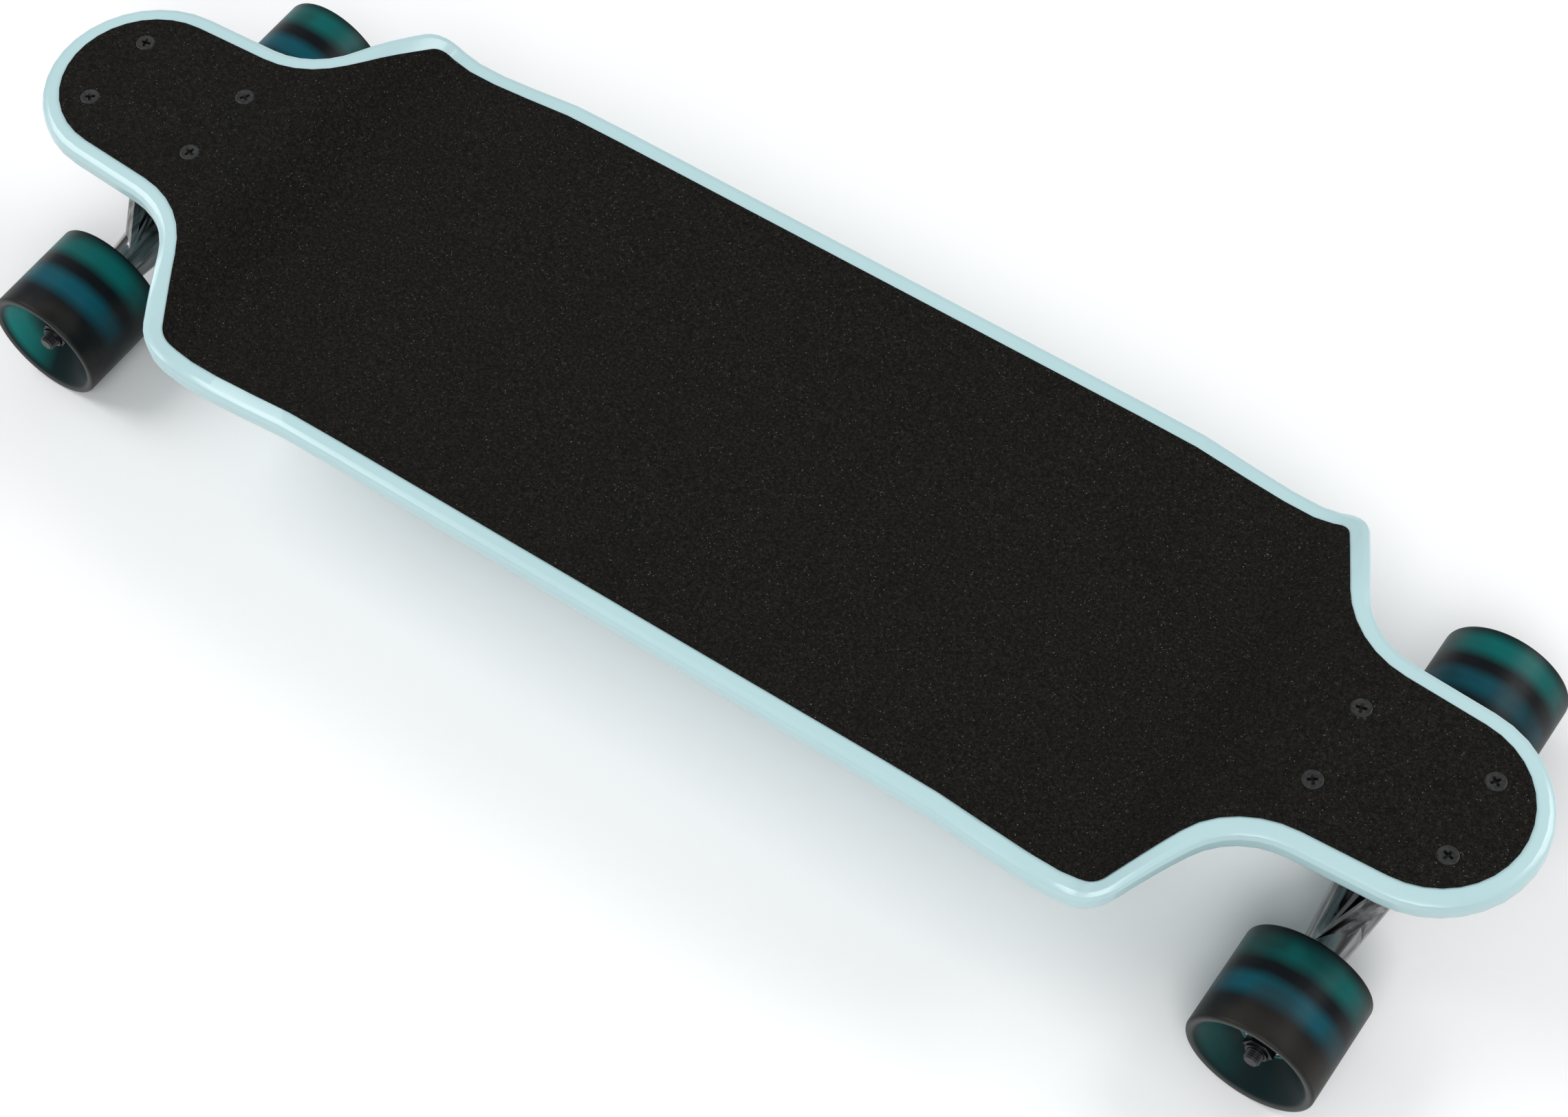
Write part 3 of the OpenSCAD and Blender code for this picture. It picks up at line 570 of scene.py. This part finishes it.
def makeTyre():
    radius, half, coreRadius, seat = tyreShape()
    shape = wheelShape
    mouth = radius - shape["face"]
    root = shape["root"] + shape["gap"]
    shoulder = root + shape["rootStep"]
    bed, taper = shape["rootRise"], shape["coreTaper"]
    profile = [
        (root, seat), (mouth, half), (radius, half), (radius, -half), (mouth, -half), (root, -seat),
        (root, -seat + bed), (shoulder, -seat + bed), (coreRadius, -seat + taper),
        (coreRadius, seat - taper), (shoulder, seat - bed), (root, seat - bed)]
    lip = (shape["lipRound"], shape["lipSteps"])
    boardLip = (shape["innerLip"], shape["lipSteps"])
    inner = (shape["mouthRound"], shape["mouthSteps"])
    rounded = {1: inner, 2: lip, 3: boardLip, 4: inner}
    centre = middleOf("front_left_tyre")
    tyre = spinProfile("frontLeftTyre", profile, rounded, centre, shape["steps"])
    offsets = [vertex.co - centre for vertex in tyre.data.vertices]
    # rise sets the painted top light of the bands, along sets the side of the funnel's painted glow
    shares = {
        "reach": [math.hypot(offset.x, offset.z) / radius for offset in offsets],
        "rise": [0.5 + offset.z / (2 * radius) for offset in offsets],
        "along": [0.5 + offset.x / (2 * radius) for offset in offsets],
    }
    for name, values in shares.items():
        shareOut(tyre, name, values)
    smoothByAngle(tyre, shape["smoothAngle"])
    return tyre


def wheelMove(end, side):
    # carries the front left wheel to another corner, keeping its outer face outwards
    centre = middleOf("front_left_tyre")
    target = middleOf(f"{end}_{side}_tyre")
    turn = Matrix.Rotation(math.pi, 4, "Z") if side == "right" else Matrix.Identity(4)
    return Matrix.Translation(target) @ turn @ Matrix.Translation(-centre)


def markBands(tyre, end, side):
    # on every wheel the green band is nearer to the board's left side
    middle = middleOf(f"{end}_{side}_tyre")
    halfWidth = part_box(f"{end}_{side}_tyre")[1].y - middle.y
    places = [vertex.co.y - middle.y for vertex in tyre.data.vertices]
    # how strongly this wheel's funnel is painted glowing
    shareOut(tyre, "glowing", [wheelLook["glowAmount"][end]] * len(places))
    shareOut(tyre, "across", [0.5 - place / (2 * halfWidth) for place in places])


def makeWheels():
    first = makeTyre()
    shape = first.data.copy()
    for end in ends:
        for side in sides:
            if (end, side) == ("front", "left"):
                tyre = first
            else:
                tyre = bpy.data.objects.new(camelName(f"{end}_{side}_tyre"), shape.copy())
                scene.collection.objects.link(tyre)
                tyre.data.transform(wheelMove(end, side))
            markBands(tyre, end, side)
            finishPiece(tyre, looks["wheel_urethane"], f"{end}_{side}_wheel", "wheel_urethane",
                        f"{end}_{side}_tyre")


makeWheels()
print("wheels made")


axleShape = {
    "threadPitch": 1.06 * mm, "threadDepth": 0.55 * mm, "threadLength": 10.5 * mm, "chamfer": 1.0 * mm,
    "steps": 40, "smoothAngle": 35,
}


def makeAxles():
    # one turned axle, threaded at both tips, and a copy of it for the other truck
    low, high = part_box("front_axle")
    radius, half = (high.x - low.x) / 2, (high.y - low.y) / 2
    shape = axleShape
    ridge = half - shape["chamfer"]
    tip = [(0, half), (radius - shape["chamfer"], half), (radius, ridge)]
    while ridge > half - shape["threadLength"]:
        tip.append((radius - shape["threadDepth"], ridge - shape["threadPitch"] / 2))
        ridge -= shape["threadPitch"]
        tip.append((radius, ridge))
    otherTip = [(distance, -place) for distance, place in reversed(tip)]
    centre = middleOf("front_axle")
    first = spinProfile("frontAxle", tip + otherTip, {}, centre, shape["steps"], closed=False)
    smoothByAngle(first, shape["smoothAngle"])
    second = bpy.data.objects.new("rearAxle", first.data.copy())
    scene.collection.objects.link(second)
    second.data.transform(Matrix.Translation(middleOf("rear_axle") - centre))
    for end, axle in (("front", first), ("rear", second)):
        finishPiece(axle, looks["dark_steel"], f"{end}_hanger", "dark_steel", f"{end}_axle")


makeAxles()
print("axles made")


screwShape = {
    "headRadius": 4.7 * mm, "headDepth": 2.3 * mm, "dish": 0.12 * mm, "rim": 0.25 * mm, "shaft": 2.35 * mm,
    "crossLength": 5.7 * mm, "crossWidth": 1.5 * mm, "crossDepth": 1.7 * mm, "crossTaper": (0.5, 0.8, 1),
    "darkFrom": 0.4 * mm, "darkMargin": 0.1 * mm, "frameHead": 4.5 * mm, "sides": 48, "smoothAngle": 35,
    "turn": (0.35, 0.6),  # how far the crosses are turned, by end and by side
}


def crossCutter(centre, top):
    # two crossed blades that narrow downwards
    deselectAll()
    length, width, depth = (screwShape[key] for key in ("crossLength", "crossWidth", "crossDepth"))
    above = 0.2 * mm  # how far the blades stand out of the head
    bpy.ops.mesh.primitive_cube_add(size=1, location=(centre.x, centre.y, top + (above - depth) / 2))
    blade = bpy.context.active_object
    bpy.ops.transform.resize(value=(length, width, above + depth))
    bpy.ops.object.transform_apply(location=True, rotation=True, scale=True)
    editMode(True)
    bpy.ops.mesh.select_all(action="DESELECT")
    editMode(False)
    for corner in blade.data.vertices:
        corner.select = corner.co.z < top - above
    editMode(True)
    bpy.ops.transform.resize(value=screwShape["crossTaper"])
    bpy.ops.mesh.select_all(action="SELECT")
    bpy.ops.mesh.duplicate()
    bpy.ops.transform.rotate(value=math.pi / 2, orient_axis="Z",
                             center_override=(centre.x, centre.y, top))
    editMode(False)
    return blade


def crossShadeMarks(screw, offset):
    # 1 for each point well inside the cross, where shade is painted, 0 for the others
    shape = screwShape
    deepest = shape["crossDepth"] + shape["darkMargin"]
    widest = shape["crossLength"] / 2 + shape["darkMargin"]
    return [float(shape["darkFrom"] < offset.z - vertex.co.z < deepest
                  and (vertex.co - offset).xy.length < widest)
            for vertex in screw.data.vertices]


def makeScrew():
    low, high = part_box("front_deck_screws")
    centre = (low + high) / 2
    offset = Vector((centre.x, centre.y, high.z))
    shape = screwShape
    radius, depth, rim, shaft = (shape[key] for key in ("headRadius", "headDepth", "rim", "shaft"))
    deselectAll()
    bpy.ops.mesh.primitive_circle_add(vertices=shape["sides"], radius=shaft, fill_type="NGON",
                                      location=(offset.x, offset.y, low.z))
    screw = bpy.context.active_object
    screw.name = "deckScrew"
    bpy.ops.object.transform_apply(location=True, rotation=True, scale=True)
    editMode(True)
    bpy.ops.mesh.select_all(action="SELECT")
    pivot = (offset.x, offset.y, 0)
    # each ring is (how far it rises, how far it spreads): shaft, cone, two steps of the rim, dish
    rings = [(high.z - depth - low.z, 1), (depth - rim, radius / shaft),
             (rim * 0.6, (radius - 0.1 * mm) / radius), (rim * 0.4, 0.94), (-shape["dish"], 0.86)]
    for rise, spread in rings:
        bpy.ops.mesh.extrude_region_move(TRANSFORM_OT_translate={"value": (0, 0, rise)})
        bpy.ops.transform.resize(value=(spread, spread, 1), center_override=pivot)
    bpy.ops.mesh.select_all(action="SELECT")
    bpy.ops.mesh.normals_make_consistent(inside=False)
    editMode(False)
    cutter = crossCutter(centre, high.z)
    addModifier(screw, "BOOLEAN", operation="DIFFERENCE", object=cutter, solver="EXACT", use_self=True)
    applyModifiers(screw)
    bpy.data.objects.remove(cutter)
    shareOut(screw, "sunk", crossShadeMarks(screw, offset))
    smoothByAngle(screw, shape["smoothAngle"])
    return screw, centre


def makeScrews():
    # one screw, then four at each truck
    model, centre = makeScrew()
    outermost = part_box("front_deck_screws")[1]
    reachX = outermost.x - centre.x - screwShape["frameHead"]
    reachY = outermost.y - centre.y - screwShape["frameHead"]
    turnX, turnY = screwShape["turn"]
    for end in ends:
        shift = middleOf(f"{end}_deck_screws") - centre
        copies = []
        for wayX in (1, -1):
            for wayY in (1, -1):
                one = bpy.data.objects.new("deckScrew", model.data.copy())
                scene.collection.objects.link(one)
                angle = turnX * wayX + turnY * wayY
                turn = (Matrix.Translation(centre) @ Matrix.Rotation(angle, 4, "Z")
                        @ Matrix.Translation(-centre))
                place = Vector((shift.x + wayX * reachX, wayY * reachY, 0))
                one.data.transform(Matrix.Translation(place) @ turn)
                copies.append(one)
        makeActive(copies[0])
        for one in copies:
            one.select_set(True)
        bpy.ops.object.join()
        piece = bpy.context.active_object
        piece.name = camelName(f"{end}_deck_screws")
        finishPiece(piece, looks["black_screws"], "board", "black_screws", f"{end}_deck_screws")
    bpy.data.objects.remove(model)


makeScrews()
print("deck screws made")


# node ending: (edge rounding in mm, slot, and a look where the slot's own is not used)
softened = {
    "riser_pad": (0.4, "black_rubber"),
    "baseplate": (0.8, "polished_alloy", "cast_alloy"),
    "pivot_cup": (0.2, "black_rubber"),
    "kingpin": (0.3, "dark_steel"),
    "kingpin_nut": (0.35, "dark_steel"),
    "upper_washer": (0.15, "plated_steel"),
    "lower_washer": (0.15, "plated_steel"),
    "deck_nuts": (0.25, "black_screws"),
    "hanger": (0.7, "polished_alloy"),
    "axle_nuts": (0.3, "dark_steel"),
    "speed_washers": (0.1, "plated_steel"),
    "bearing_inner_rings": (0.15, "bearing_steel"),
    "bearing_spacers": (0.15, "plated_steel"),
}
softenedWheel = {
    "core": (0.3, "wheel_core"),
    "bearing_outer_rings": (0.15, "bearing_steel"),
    "bearing_shields": (0.05, "shield"),
    "bearing_cages": (0.05, "cage"),
    "bearing_balls": (0.0, "bearing_steel"),
}
bodies = frame["record"]["behaviour"]["bodies"]
bodyOf = {node: body for body, members in bodies.items() for node in members}
ballSmooth = 60


def makeSoftened(node, rounding, slotName, look=None):
    piece = nodeCopy(node)
    if rounding:
        softenEdges(piece, rounding * mm)
    else:
        smoothByAngle(piece, ballSmooth)
    finishPiece(piece, looks[look or slotName], bodyOf[node], slotName, node)


for end in ends:
    for ending, choice in softened.items():
        makeSoftened(f"{end}_{ending}", *choice)
    for side in sides:
        for ending, choice in softenedWheel.items():
            makeSoftened(f"{end}_{side}_{ending}", *choice)
print("trucks and bearings made")


bushingShape = {"rounding": 0.6 * mm}


def makeBushings(end):
    # each bushing sits between its washer on the board and the ring of the hanger, as a softened copy with
    # its place baked into the mesh
    names = [f"{end}_upper_bushing", f"{end}_lower_bushing"]
    for name in names:
        piece = nodeCopy(name)
        softenEdges(piece, bushingShape["rounding"])
        dress(piece, looks["bushing"], "bushing", name)
        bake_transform(piece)


for end in ends:
    makeBushings(end)
print("bushings made")
